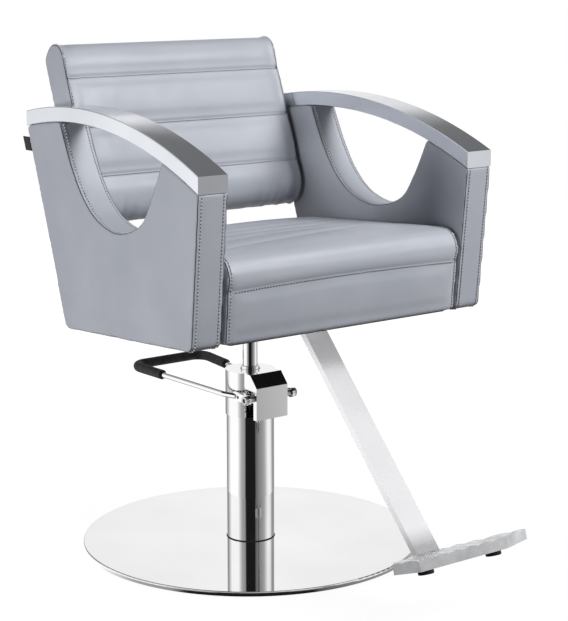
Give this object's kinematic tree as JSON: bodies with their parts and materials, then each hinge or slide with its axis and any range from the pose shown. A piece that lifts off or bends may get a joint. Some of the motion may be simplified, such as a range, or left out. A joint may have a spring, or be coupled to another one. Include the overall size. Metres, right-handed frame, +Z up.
{
  "type": "styling chair",
  "caption": "Salon styling chair: padded seat and back between side panels with metal arm rails, on a hydraulic foot-pumped column and round base, with a footrest.",
  "frame": {"origin": "centre of the round base on the floor, on the axis of the column", "axes": "+Z up; the sitter faces -Y, where the footrest is; X runs across the chair"},
  "size_m": [0.65, 0.9072, 0.933],
  "materials": {
    "leather": "soft grained upholstery leather, semi-matt",
    "foam": "polyurethane upholstery foam",
    "timber": "birch plywood, unfinished",
    "polished_steel": "mirror-polished stainless and chromed steel",
    "polished_aluminium": "polished cast and extruded aluminium",
    "dark_steel": "black powder coat",
    "plain_steel": "machined steel, oiled",
    "zinc_steel": "zinc-plated steel fasteners",
    "black_rubber": "matt moulded rubber",
    "black_plastic": "fine-textured moulded plastic",
    "black_fabric": "woven black cloth"
  },
  "bodies": {
    "base": {"base_disc": "polished_steel", "base_mat": "black_rubber", "base_bolts": "zinc_steel", "column_cover": "polished_steel", "pump_reservoir": "plain_steel", "pump_cylinder": "plain_steel", "piston_wiper": "black_rubber", "pump_head": "polished_steel", "pump_head_cap": "black_plastic", "valve_block": "plain_steel", "plunger_spring": "plain_steel"},
    "lever": {"lever_shaft": "plain_steel", "lever_cam": "plain_steel", "lever_rod": "polished_steel", "lever_grip": "black_rubber", "lever_bolts": "zinc_steel"},
    "plunger": {"pump_plunger": "plain_steel"},
    "piston": {"piston": "polished_steel", "piston_seals": "black_rubber", "thrust_washer": "plain_steel"},
    "chair": {"seat_bracket": "dark_steel", "bracket_bolts": "zinc_steel", "seat_frame": "timber", "seat_cover": "leather", "seat_foam": "foam", "seat_dust_cover": "black_fabric", "seat_side_bolts": "zinc_steel", "seat_side_spacers": "black_plastic", "left_panel_core": "timber", "right_panel_core": "timber", "left_side_panel": "leather", "right_side_panel": "leather", "left_arm_rail": "polished_aluminium", "right_arm_rail": "polished_aluminium", "rail_studs": "zinc_steel", "side_label": "black_fabric", "back_board": "timber", "back_cover": "leather", "back_foam": "foam", "back_studs": "zinc_steel", "back_spacers": "black_plastic", "footrest_bar": "polished_steel", "footrest_bolts": "zinc_steel", "footrest_tread": "polished_aluminium", "tread_screws": "zinc_steel", "footrest_pads": "black_rubber"}
  },
  "joints": [
    {"name": "seat_height", "type": "slide", "parent": "base", "child": "piston", "axis": [0, 0, 1], "range_m": [0, 0.13]},
    {"name": "seat_swivel", "type": "hinge", "parent": "piston", "child": "chair", "pos_m": [0, 0, 0.3948], "axis": [0, 0, 1], "continuous": true},
    {"name": "lever_pump", "type": "hinge", "parent": "base", "child": "lever", "pos_m": [0, -0.0594, 0.2923], "axis": [1, 0, 0], "range_deg": [-22, 0], "stiffness_Nm_per_rad": 8, "springref_deg": 22.92},
    {"name": "plunger_stroke", "type": "slide", "parent": "base", "child": "plunger", "axis": [0, 0, 1], "range_m": [-0.0075, 0], "deforming": ["plunger_spring"]}
  ],
  "couplings": [
    {"joint": "plunger_stroke", "follows": "lever_pump", "m_per_rad": 0.0184}
  ]
}
